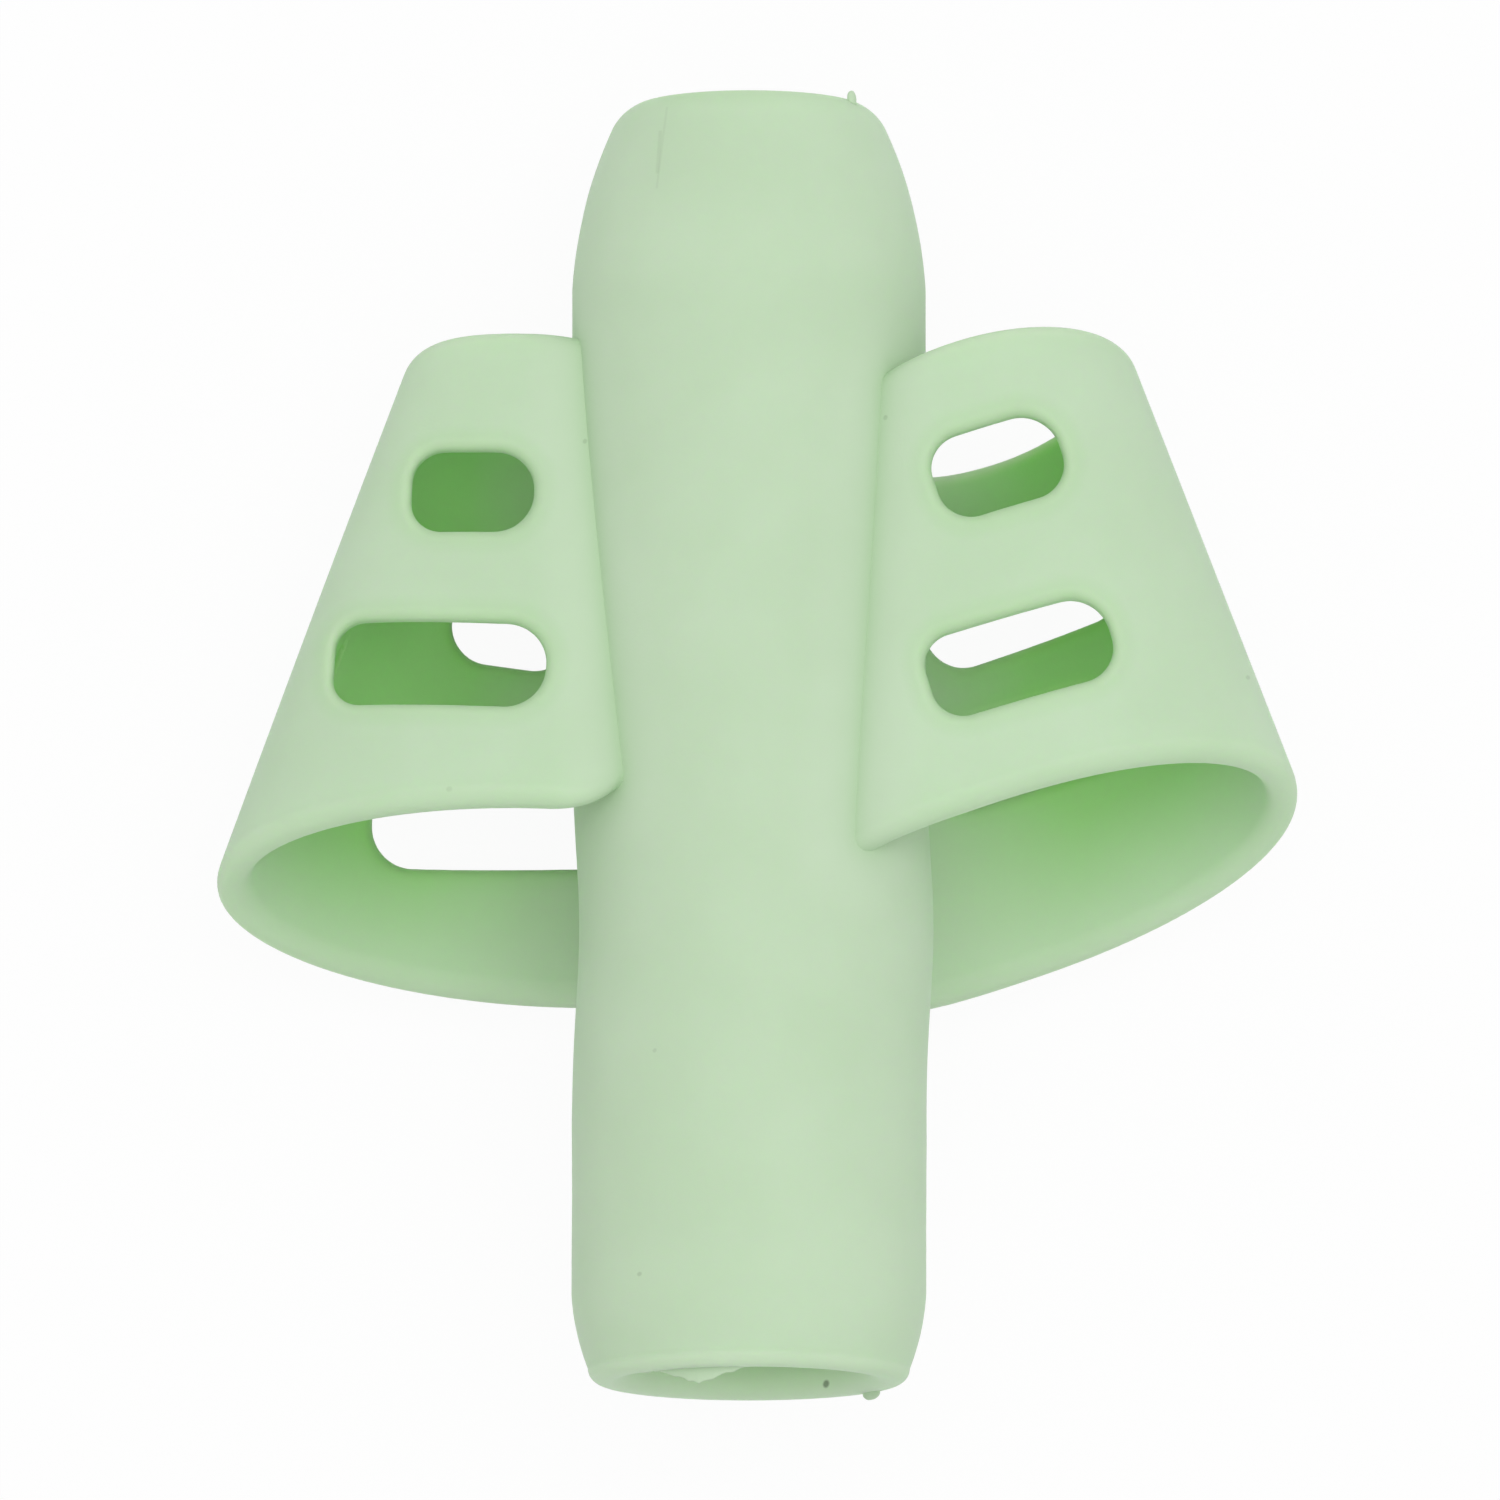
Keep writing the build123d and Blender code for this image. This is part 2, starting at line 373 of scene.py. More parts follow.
class Result:
    """One of a node's results. Numbers among them are reckoned with by maths nodes."""

    def __init__(self, tree, socket):
        self.tree, self.socket = tree, socket

    def maths(self, operation, other=0.0):
        """What a maths node makes of this number and another."""
        return add_node(self.tree, "ShaderNodeMath", {0: self, 1: other}, operation=operation)[0]

    def clamped(self):
        """This number, kept from 0 to 1."""
        return add_node(self.tree, "ShaderNodeClamp", {0: self})[0]

    def __add__(self, other):
        return self.maths("ADD", other)

    def __sub__(self, other):
        return self.maths("SUBTRACT", other)

    def __rsub__(self, other):
        return self * -1 + other

    def __mul__(self, other):
        return self.maths("MULTIPLY", other)

    def __truediv__(self, other):
        return self.maths("DIVIDE", other)


def add_node(tree, kind, inputs=None, **settings):
    """A new node's results, by number and by name. Its inputs are set, or linked to other results."""
    node = tree.nodes.new(kind)
    for key, value in settings.items():
        setattr(node, key, value)
    for key, value in (inputs or {}).items():
        if isinstance(value, Result):
            tree.links.new(value.socket, node.inputs[key])
        else:
            node.inputs[key].default_value = value
    results = {}
    for number, socket in enumerate(node.outputs):
        results[number] = results[socket.name] = Result(tree, socket)
    return results


def combined(tree, x, y, z):
    """A vector of three numbers."""
    return add_node(tree, "ShaderNodeCombineXYZ", {0: x, 1: y, 2: z})[0]


def separated(vector):
    """The three numbers of a vector."""
    parts = add_node(vector.tree, "ShaderNodeSeparateXYZ", {0: vector})
    return parts[0], parts[1], parts[2]


def new_tree(name, kind, inputs, outputs):
    """A node group with its sockets, which are named by kind, and what it is given."""
    tree = bpy.data.node_groups.new(name, kind)
    for in_out, sockets in (("INPUT", inputs), ("OUTPUT", outputs)):
        for socket, labels in sockets.items():
            for label in labels:
                tree.interface.new_socket(label, in_out=in_out, socket_type=f"NodeSocket{socket}")
    return tree, add_node(tree, "NodeGroupInput")


def unit_grid(tree, across, along):
    """A grid, its points' places, and how far across and along it they lie, from 0 to 1."""
    sizes = {"Size X": 1.0, "Size Y": 1.0, "Vertices X": across, "Vertices Y": along}
    grid = add_node(tree, "GeometryNodeMeshGrid", sizes)[0]
    place = add_node(tree, "GeometryNodeInputPosition")[0]
    x, y, _ = separated(place)
    return grid, place, x + 0.5, y + 0.5


def placed(tree, grid, position):
    """A grid with its points put in their places and its seams closed."""
    moved = add_node(tree, "GeometryNodeSetPosition", {"Geometry": grid, "Position": position})[0]
    return add_node(tree, "GeometryNodeMergeByDistance", {"Geometry": moved, "Distance": 1e-7})[0]


def named_values(group, names):
    """A group's settings under the names of a tree's inputs."""
    return {name: getattr(group, name.lower().replace(" ", "_")) for name in names}


def arc(start, middle, end, steps):
    """Points of the circular arc through three points, without its last point."""
    (ax, ay), (bx, by), (cx, cy) = start, middle, end
    twice = 2 * (ax * (by - cy) + bx * (cy - ay) + cx * (ay - by))
    aa, bb, cc = ax * ax + ay * ay, bx * bx + by * by, cx * cx + cy * cy
    ux = (aa * (by - cy) + bb * (cy - ay) + cc * (ay - by)) / twice
    uy = (aa * (cx - bx) + bb * (ax - cx) + cc * (bx - ax)) / twice
    turns = np.unwrap([math.atan2(y - uy, x - ux) for x, y in (start, middle, end)])
    reach = math.hypot(ax - ux, ay - uy)
    turns = np.linspace(turns[0], turns[2], steps + 1)[:-1]
    return [(ux + reach * math.cos(t), uy + reach * math.sin(t)) for t in turns]


def tangent_arc(start, end, heading, steps):
    """Points of the circular arc that leaves its start along a heading, without its last point."""
    gap, ahead = np.subtract(end, start), np.array(heading)
    side = np.array([-heading[1], heading[0]])
    reach = gap.dot(gap) / (2 * gap.dot(side))
    turns = np.linspace(0, 2 * math.atan2(gap.dot(side), gap.dot(ahead)), steps + 1)[:-1]
    return [tuple(start + reach * (side * (1 - math.cos(t)) + ahead * math.sin(t))) for t in turns]


def run(start, end, steps):
    """Points of a straight run, without its last point."""
    return [tuple(p) for p in np.linspace(start, end, steps + 1)[:-1]]


def swollen_middle(start, end, swell):
    """The middle of two points of an outline, moved outward."""
    return (start[0] + end[0]) / 2 + swell, (start[1] + end[1]) / 2


def sleeve_profile(sleeve):
    """The sleeve's closed outline as radius and distance along its axis, round the tail and the nose."""
    bore, whole = sleeve.bore_radius, sleeve.length
    lead_top, lead_end = (bore, sleeve.lead_length), (sleeve.lead_radius, 0)
    tail_flat = (sleeve.tail_radius - sleeve.tail_round, 0)
    tail_start, tail_end = (sleeve.tail_radius, sleeve.tail_round), (sleeve.radius, sleeve.tail_length)
    tail_middle = swollen_middle(tail_start, tail_end, sleeve.tail_swell)
    shoulder, nose_end = (sleeve.radius, sleeve.shoulder), (sleeve.nose_radius, whole - sleeve.nose_round)
    nose_middle = swollen_middle(shoulder, nose_end, sleeve.nose_swell)
    nose_flat = (sleeve.nose_radius - sleeve.nose_round, whole)
    nose = arc(shoulder, nose_middle, nose_end, 30)
    nose_heading = np.subtract(nose_end, nose[-1])
    nose_heading /= np.hypot(*nose_heading)
    edge = NOSE_EDGE * sleeve.nose_flat
    edge_start, edge_end = (bore + edge, whole), (bore, whole - edge)
    return (
        tangent_arc(lead_top, lead_end, (0, -1), 16)
        + run(lead_end, tail_flat, 4)
        + tangent_arc(tail_flat, tail_start, (1, 0), 12)
        + arc(tail_start, tail_middle, tail_end, 16)
        + run(tail_end, shoulder, 90)
        + nose
        + tangent_arc(nose_end, nose_flat, nose_heading, 14)
        + run(nose_flat, edge_start, 2)
        + tangent_arc(edge_start, edge_end, (-1, 0), 6)
        + run(edge_end, lead_top, 50)
    )


def turning_tree():
    """Geometry Nodes that turn a profile about the sleeve's axis, slightly uneven away from the cups."""
    tree, given = new_tree(
        "Turned sleeve",
        "GeometryNodeTree",
        {
            "Geometry": ("Profile",),
            "Int": ("Steps Around", "Profile Points", "Seed"),
            "Float": ("Unevenness", "Quiet From", "Quiet To", "Bow", "Bow Middle", "Bow Spread"),
            "Material": ("Silicone",),
        },
        {"Geometry": ("Sleeve",)},
    )
    count = given["Profile Points"]
    grid, place, turn_share, profile_share = unit_grid(tree, given["Steps Around"] + 1, count + 1)
    turn = turn_share * (2 * math.pi)
    index = (profile_share * count).maths("ROUND").maths("MODULO", count)
    found = {"Geometry": given["Profile"], "Value": place, "Index": index}
    spot = add_node(tree, "GeometryNodeSampleIndex", found, data_type="FLOAT_VECTOR", domain="POINT")[0]
    out, along, _ = separated(spot)
    sine, cosine = turn.maths("SINE"), turn.maths("COSINE")
    ring = combined(tree, out * sine, along, out * cosine)
    lumps = {"Vector": ring, "W": given["Seed"], "Scale": 260.0, "Detail": 2.0}
    noise = add_node(tree, "ShaderNodeTexNoise", lumps, noise_dimensions="4D")[0]
    stray = (noise - 0.5) * given["Unevenness"]
    off_cups = (given["Quiet From"] - along).maths("MAXIMUM", along - given["Quiet To"])
    radius = out + stray * (off_cups * (1 / QUIET_FADE)).clamped() * 2
    apart = (along - given["Bow Middle"]) / given["Bow Spread"]
    swell = (apart * apart * -1).maths("EXPONENT")
    put = combined(tree, radius * sine + swell * given["Bow"], along, radius * cosine)
    return finish_tree(tree, placed(tree, grid, put), given["Silicone"], "Sleeve")


def face_outward(mesh):
    """Turns a closed mesh's faces outward."""
    mesh.calc_loop_triangles()
    corners = np.empty(len(mesh.loop_triangles) * 3, np.int64)
    mesh.loop_triangles.foreach_get("vertices", corners)
    a, b, c = mesh_points(mesh)[corners.reshape(-1, 3)].transpose(1, 0, 2)
    if np.einsum("ij,ij->i", a, np.cross(b, c)).sum() < 0:
        mesh.flip_normals()


def evaluated_mesh(name, source, tree, values):
    """The plain mesh that a tree makes from a source mesh, with the tree's inputs set by name."""
    blank = bpy.data.objects.new(name, source)
    bpy.context.scene.collection.objects.link(blank)
    maker = blank.modifiers.new(name, "NODES")
    maker.node_group = tree
    for socket in tree.interface.items_tree:
        if socket.in_out == "INPUT" and socket.name in values:
            maker[socket.identifier] = values[socket.name]
    bpy.context.view_layer.update()
    made = blank.evaluated_get(bpy.context.evaluated_depsgraph_get())
    mesh = bpy.data.meshes.new_from_object(made)
    mesh.name = name
    bpy.data.objects.remove(blank)
    bpy.data.meshes.remove(source)
    return mesh


def mesh_points(mesh):
    """A mesh's points as rows of coordinates."""
    points = np.empty(len(mesh.vertices) * 3)
    mesh.vertices.foreach_get("co", points)
    return points.reshape(-1, 3)


def turned_sleeve(sleeve, fields, material):
    """The sleeve's mesh, turned from its profile in the sleeve's own axes and put in its place."""
    outline = sleeve_profile(sleeve)
    profile = bpy.data.meshes.new("sleeve_profile")
    profile.from_pydata([(r, y, 0) for r, y in outline], [(i, i + 1) for i in range(len(outline) - 1)], [])
    values = {
        **named_values(sleeve, ("Steps Around", "Seed", "Unevenness", "Bow", "Bow Middle", "Bow Spread")),
        "Profile Points": len(outline),
        "Quiet From": QUIET_FROM,
        "Quiet To": sleeve.shoulder,
        "Silicone": material,
    }
    mesh = evaluated_mesh("pencil_sleeve_skin", profile, turning_tree(), values)
    points = mesh_points(mesh)
    # Shares for the painted shade: in the creases at the cups' roots, in the bore and inside the cups'
    # hollows
    apart = np.minimum(*(field(points) for field in fields))
    root = root_share(points, apart, np.minimum(*(field.outside(points) for field in fields)))
    depth = np.minimum(points[:, 1], sleeve.length - points[:, 1])
    bore = np.clip((sleeve.lead_radius - np.hypot(points[:, 0], points[:, 2])) / MM, 0, 1)
    bore *= np.clip(0.2 + depth / BORE_FADE, 0, 1)
    inside = np.maximum.reduce([bore, *(field.inside(points) for field in fields)])
    paint(mesh, {"root": root, "inside": inside})
    mesh.transform(sleeve_matrix(sleeve))
    face_outward(mesh)
    return mesh


def flash_tree():
    """Geometry Nodes that bend a thin fin round the sleeve's axis, with a ragged edge and one long tooth."""
    tree, given = new_tree(
        "Torn flash",
        "GeometryNodeTree",
        {"Geometry": ("Blank",), "Int": ("Seed",), "Float": FLASH_LENGTHS, "Material": ("Silicone",)},
        {"Geometry": ("Flash",)},
    )
    grid, _, share, round_share = unit_grid(tree, 121, 17)
    turn = share * (given["End"] - given["Start"]) + given["Start"]
    round_it = round_share * (2 * math.pi)
    up, out = round_it.maths("SINE"), round_it.maths("COSINE")
    tears = {"W": share + given["Seed"], "Scale": 14.0, "Detail": 3.0}
    ragged = add_node(tree, "ShaderNodeTexNoise", tears, noise_dimensions="1D")[0]
    tooth = (1 - (turn - given["Tooth"]).maths("ABSOLUTE") / given["Tooth Spread"]).clamped()
    torn = ragged * RAGGED_SHARE + tooth * TOOTH_SHARE
    edge = up.maths("MAXIMUM", 0) * torn * given["Height"]
    foot = up.maths("MINIMUM", 0) * FLASH_FOOT
    ends = (share.maths("MINIMUM", 1 - share) * FLASH_TAPER).clamped()
    radius = out * (given["Thickness"] * 0.5 * ends) + given["Radius"]
    along = given["Base"] - (edge + foot) * ends
    put = combined(tree, radius * turn.maths("SINE"), along, radius * turn.maths("COSINE"))
    return finish_tree(tree, placed(tree, grid, put), given["Silicone"], "Flash")


def torn_flash(flash, material):
    """The torn flash's mesh in the sleeve's own axes."""
    values = {**named_values(flash, ("Seed", *FLASH_LENGTHS)), "Silicone": material}
    return evaluated_mesh("tail_flash", bpy.data.meshes.new("flash_blank"), flash_tree(), values)


def nub_tree():
    """Geometry Nodes that put a rough blob of its own size and turn on each point."""
    tree, given = new_tree(
        "Rim nubs",
        "GeometryNodeTree",
        {"Geometry": ("Places",), "Int": ("Seed",), "Float": ("Roughness",), "Material": ("Silicone",)},
        {"Geometry": ("Nubs",)},
    )
    blob = add_node(tree, "GeometryNodeMeshIcoSphere", {"Radius": 1.0, "Subdivisions": 4})[0]
    size, turn = (
        add_node(tree, "GeometryNodeInputNamedAttribute", {"Name": name}, data_type="FLOAT_VECTOR")[0]
        for name in ("nub_size", "nub_turn")
    )
    held = {"Points": given["Places"], "Instance": blob, "Rotation": turn, "Scale": size}
    put = add_node(tree, "GeometryNodeInstanceOnPoints", held)[0]
    real = add_node(tree, "GeometryNodeRealizeInstances", {"Geometry": put})[0]
    lumps = {"W": given["Seed"], "Scale": 4000.0, "Detail": 1.0}
    noise = add_node(tree, "ShaderNodeTexNoise", lumps, noise_dimensions="4D")[1]
    middle = {0: noise, 1: (0.5, 0.5, 0.5)}
    stray = add_node(tree, "ShaderNodeVectorMath", middle, operation="SUBTRACT")[0]
    reach = {0: stray, "Scale": given["Roughness"]}
    push = add_node(tree, "ShaderNodeVectorMath", reach, operation="SCALE")[0]
    rough = add_node(tree, "GeometryNodeSetPosition", {"Geometry": real, "Offset": push})[0]
    return finish_tree(tree, rough, given["Silicone"], "Nubs")


def finish_tree(tree, shape, material, name):
    """The tree, ended with smooth shading, real geometry and its material."""
    smooth = add_node(tree, "GeometryNodeSetShadeSmooth", {"Geometry": shape, "Shade Smooth": True})[0]
    real = add_node(tree, "GeometryNodeRealizeInstances", {"Geometry": smooth})[0]
    dressed = add_node(tree, "GeometryNodeSetMaterial", {"Geometry": real, "Material": material})[0]
    add_node(tree, "NodeGroupOutput", {name: dressed})
    return tree


def rim_nubs(grip, material):
    """The nubs' mesh in the sleeve's own axes: one on the nose's rim and one on the tail's."""
    sleeve = grip.sleeve
    rims = ((sleeve.nose_radius, sleeve.length), (sleeve.tail_radius, 0))
    spots, sizes, turns = [], [], []
    for (degrees, inset, along, size), (radius, end) in zip(NUBS, rims):
        turn, out = math.radians(degrees), radius - inset * MM
        spots.append((out * math.sin(turn), end + along * MM, out * math.cos(turn)))
        sizes.append([value * MM for value in size])
        turns.append((0, turn, 0))
    places = bpy.data.meshes.new("nub_places")
    places.from_pydata(spots, [], [])
    for name, rows in (("nub_size", sizes), ("nub_turn", turns)):
        layer = places.attributes.new(name, "FLOAT_VECTOR", "POINT")
        layer.data.foreach_set("vector", np.ravel(rows))
    values = {"Seed": grip.flash.seed, "Roughness": grip.flash.nub_rough, "Silicone": material}
    return evaluated_mesh("rim_nubs", places, nub_tree(), values)


def turn_towards(angle, first, second):
    """A turn by an angle that takes the first axis towards the second."""
    turn = np.eye(3)
    turn[first, first] = turn[second, second] = math.cos(angle)
    turn[second, first], turn[first, second] = math.sin(angle), -math.sin(angle)
    return turn


def cup_axes(cup, side, rise):
    """Outward, upward and frontward directions of a cup's section that rises outward."""
    axes = turn_towards(cup.yaw, 0, 2) @ turn_towards(side * rise, 0, 1) @ turn_towards(cup.lean, 2, 1)
    return axes[:, 0] * side, axes[:, 1], axes[:, 2]


def rim_middle(rim, side, sleeve):
    """The middle of a rim in the sleeve's own axes."""
    return np.array([side * (sleeve.radius + rim.offset), sleeve.shoulder - rim.setback, rim.frontward])


def rounded_corner(first, second, rounding):
    """The distance to what lies in both of two shapes, with the edge between them rounded."""
    a, b = first + rounding, second + rounding
    return np.minimum(np.maximum(a, b), 0) + np.hypot(np.maximum(a, 0), np.maximum(b, 0)) - rounding


class CupField:
    """A cup's distance field in the sleeve's own axes: negative in the silicone, positive outside it."""

    def __init__(self, cup, side, sleeve, shared):
        self.cup, self.side, self.sleeve, self.shared = cup, side, sleeve, shared
        self.tip_axes = cup_axes(cup, side, cup.tip.rise)
        self.mouth_axes = cup_axes(cup, side, cup.mouth.rise)
        self.tip_middle = rim_middle(cup.tip, side, sleeve)
        self.mouth_middle = rim_middle(cup.mouth, side, sleeve)
        self.slots = [self.slot_place(getattr(cup, name), facing) for name, facing in SLOT_FACES]

    def slot_place(self, slot, facing):
        """A slot's middle and directions from the front, its half-sizes, its roundings and its wall."""
        middle = np.array([self.side * (self.sleeve.radius + slot.out), self.sleeve.shoulder - slot.setback])
        outward = np.array([self.side * math.cos(slot.rise), math.sin(slot.rise)])
        upward = np.array([-self.side * math.sin(slot.rise), math.cos(slot.rise)])
        half = slot.high / 2
        roundings = slot.round_out * half, slot.round_in * half
        return middle, outward, upward, slot.long / 2, half, *roundings, facing

    def section(self, points):
        """Where points lie: frontward in the section, beyond the tip, beyond the mouth and off the face."""
        tip, mouth = self.cup.tip, self.cup.mouth
        above = (points - self.tip_middle) @ self.tip_axes[1]
        below = (self.mouth_middle - points) @ self.mouth_axes[1]
        share = np.clip(above / (above + below), -0.3, 1.3)
        middle = self.tip_middle + share[:, None] * (self.mouth_middle - self.tip_middle)
        outward = self.tip_axes[0] + share[:, None] * (self.mouth_axes[0] - self.tip_axes[0])
        frontward = self.tip_axes[2] + share[:, None] * (self.mouth_axes[2] - self.tip_axes[2])
        across = np.einsum("ij,ij->i", points - middle, outward)
        along = np.einsum("ij,ij->i", points - middle, frontward)
        outer = across >= 0
        reach_tip, reach_mouth = (np.where(outer, rim.reach_out, rim.reach_in) for rim in (tip, mouth))
        square_tip, square_mouth = (np.where(outer, rim.square_out, rim.square_in) for rim in (tip, mouth))
        reach = reach_tip + share * (reach_mouth - reach_tip)
        square = square_tip + share * (square_mouth - square_tip)
        depth = tip.depth + share * (mouth.depth - tip.depth)
        u, w = np.abs(across) / reach, np.abs(along) / depth
        size = np.maximum(u**square + w**square, 1e-12) ** (1 / square)
        slope_u = size ** (1 - square) * np.maximum(u, 1e-9) ** (square - 1) / reach * np.sign(across)
        slope_w = size ** (1 - square) * np.maximum(w, 1e-9) ** (square - 1) / depth * np.sign(along)
        slope = np.maximum(np.hypot(slope_u, slope_w), 1e-9)
        shift = self.mouth_middle - self.tip_middle
        drift_u = shift @ self.mouth_axes[0] + across / reach * (reach_mouth - reach_tip)
        drift_w = shift @ self.mouth_axes[2] + along / depth * (mouth.depth - tip.depth)
        span = abs(shift @ self.mouth_axes[1])
        taper = (slope_u * drift_u + slope_w * drift_w) / (slope * span)
        face = (size - 1) / slope / np.sqrt(1 + np.clip(taper, -1, 1) ** 2)
        apart = np.hypot(points[:, 0], points[:, 2]) - self.sleeve.radius
        near = np.clip(1 - apart / ROOT_REACH, 0, 1) ** 2 * np.clip(points[:, 2] / MM - 1, 0, 1)
        return along, above + self.cup.tip_drop * near, below + self.cup.mouth_climb * near, face

    def slot_gap(self, points, along):
        """Distance out from the edge of the nearest slot."""
        gap = np.full(len(points), 1.0)
        for middle, outward, upward, long, high, round_out, round_in, facing in self.slots:
            apart = points[:, :2] - middle
            across = apart @ outward
            rounding = np.where(across > 0, round_out, round_in)
            flat = rounded_corner(np.abs(across) - long, np.abs(apart @ upward) - high, rounding)
            gap = np.minimum(gap, np.where(along * facing > 0, flat, 1.0))
        return gap

    def __call__(self, points):
        """Distance to the cup: its wall, rooted in the sleeve's wall and cut by its rims and slots."""
        along, above, below, face = self.section(points)
        half = self.shared.wall / 2
        sheet = np.abs(face + half) - half
        core = self.sleeve.radius - self.shared.bury - np.hypot(points[:, 0], points[:, 2])
        ring = rounded_corner(np.maximum(sheet, core), np.maximum(above, below), self.shared.lip_round)
        return rounded_corner(ring, -self.slot_gap(points, along), self.shared.slot_round)

    # The material paints its deepest shade where this share is high
    def inside(self, points):
        """How far points lie inside the cup's hollow, from 0 at its wall or mouth, and less by the sleeve."""
        _, above, below, face = self.section(points)
        half = self.shared.wall / 2
        hollow = np.clip((-face - half) / half, 0, 1) * np.clip(0.5 - above / MM, 0, 1)
        apart = np.abs(points[:, 0]) - self.sleeve.radius
        beside = np.clip(0.2 + apart / SLEEVE_FADE, 0.2, 1.4)
        return hollow * np.clip(-below / MOUTH_FADE, 0, 1) * beside

    def outside(self, points):
        """1 for points on the cup's outer face or beyond it, down to 0 for points on its inner face."""
        return np.clip(1 + self.section(points)[3] / self.shared.wall, 0, 1)

    def box(self):
        """Corners of a box round the cup."""
        turns = np.linspace(0, 2 * math.pi, 49)
        corners = []
        for rim, middle, axes in (
            (self.cup.tip, self.tip_middle, self.tip_axes),
            (self.cup.mouth, self.mouth_middle, self.mouth_axes),
        ):
            out, front = axes[0] * rim.reach_out, axes[2] * rim.depth
            corners += [middle + out * math.cos(t) + front * math.sin(t) for t in turns]
        margin = 2 * self.shared.wall
        low, high = np.min(corners, axis=0) - margin, np.max(corners, axis=0) + margin
        if self.side < 0:
            high[0] = min(high[0], 0.5 * MM)
        else:
            low[0] = max(low[0], -0.5 * MM)
        return low, high

    def gradient(self, points):
        """Direction and steepness of the field."""
        nudge = 2e-6
        slopes = []
        for axis in range(3):
            step = np.zeros(3)
            step[axis] = nudge
            slopes.append((self(points + step) - self(points - step)) / (2 * nudge))
        return np.stack(slopes, 1)

    def settle(self, points):
        """Moves points onto the cup's surface."""
        slope = self.gradient(points)
        steep = np.maximum((slope**2).sum(1), 0.05)
        move = slope * (self(points) / steep)[:, None]
        size = np.linalg.norm(move, axis=1, keepdims=True)
        return points - move * np.minimum(1, 0.5 * self.shared.mesh_step / np.maximum(size, 1e-12))


def cup_fields(grip):
    """The two cups' fields, by name."""
    sides = (("left", grip.left, -1), ("right", grip.right, 1))
    return {name: CupField(cup, side, grip.sleeve, grip.cups) for name, cup, side in sides}


def moulded_cup(field):
    """A cup's mesh in the sleeve's own axes: the field's surface, evened out and settled onto the cup."""
    step = field.shared.mesh_step
    low, high = field.box()
    counts = np.ceil((high - low) / step).astype(int) + 1
    axes = [low[i] + step * np.arange(counts[i]) for i in range(3)]
    values = np.empty(counts, np.float32)
    for i, x in enumerate(axes[0]):
        y, z = np.meshgrid(axes[1], axes[2], indexing="ij")
        values[i] = field(np.stack([np.full(y.size, x), y.ravel(), z.ravel()], 1)).reshape(counts[1:]) / step
    grid = openvdb.FloatGrid(FIELD_BAND)
    grid.copyFromArray(np.clip(values, -FIELD_BAND, FIELD_BAND).astype(float))
    corners, quads = grid.convertToQuads(0.0)
    points = low + step * np.asarray(corners, float)
    quads = np.asarray(quads, np.int64)
    edges = np.unique(np.sort(np.concatenate([quads[:, [i, (i + 1) % 4]] for i in range(4)]), 1), axis=0)
    ends = np.concatenate([edges, edges[:, ::-1]])
    (near, far), count = ends.T, len(points)
    degree = np.bincount(near, minlength=count)[:, None]
    points = field.settle(field.settle(points))
    for _ in range(EVENING_ROUNDS):
        mean = np.stack([np.bincount(near, points[far, i], count) for i in range(3)], 1) / degree
        points = field.settle(points + 0.5 * (mean - points))
    points = field.settle(field.settle(points))
    mesh = bpy.data.meshes.new("finger_cup_skin")
    mesh.from_pydata(points.tolist(), [], quads.tolist())
    mesh.shade_smooth()
    along, above, below, _ = field.section(points)
    around = np.hypot(points[:, 0], points[:, 2])
    # Shares for the painted shade: at the root's crease, along the lips, at the slots' edges and in the
    # hollow
    paint(
        mesh,
        {
            "root": root_share(points, around - field.sleeve.radius, field.outside(points)),
            "lip": 1 - np.abs(np.maximum(above, below)) / EDGE_REACH,
            "slot_edge": 1 - np.abs(field.slot_gap(points, along)) / EDGE_REACH,
            "inside": field.inside(points),
        },
    )
    return mesh


# The root share sets where the material paints crease shade and lets less light into the silicone
def root_share(points, apart, outside):
    """How near points are to a cup's root, from 0 to 1, leaving out its inner side behind."""
    front = np.clip(points[:, 2] / FRONT_FADE + 0.75, 0, 1)
    return np.clip(1 - apart / ROOT_REACH, 0, 1) * np.maximum(front, outside)


def paint(mesh, layers):
    """Keeps named shares from 0 to 1 on a mesh's points, for its material."""
    for name, share in layers.items():
        layer = mesh.attributes.new(name, "FLOAT", "POINT")
        layer.data.foreach_set("value", np.clip(share, 0, 1).astype(np.float32))


def grain_group():
    """A shader group for the moulded skin: fine grain, soft waves and dusty patches."""
    tree, given = new_tree(
        "Moulded skin",
        "ShaderNodeTree",
        {"Vector": ("Vector",), "Float": tuple(SKIN_SCALES)},
        {"Float": ("Height", "Patches", "Grain")},
    )
    noises = []
    for scale, detail in zip(SKIN_SCALES, (3.0, 2.0, 4.0)):
        sizes = {"Vector": given["Vector"], "Scale": given[scale], "Detail": detail}
        noises.append(add_node(tree, "ShaderNodeTexNoise", sizes)[0])
    grain, wave, patch = noises
    rise = {0: patch, 1: PATCH_RANGE[0], 2: PATCH_RANGE[1], 3: 0.0, 4: 1.0}
    soft = add_node(tree, "ShaderNodeMapRange", rise)[0]
    add_node(tree, "NodeGroupOutput", {"Height": grain * 0.25 + wave, "Patches": soft, "Grain": grain})
    return tree


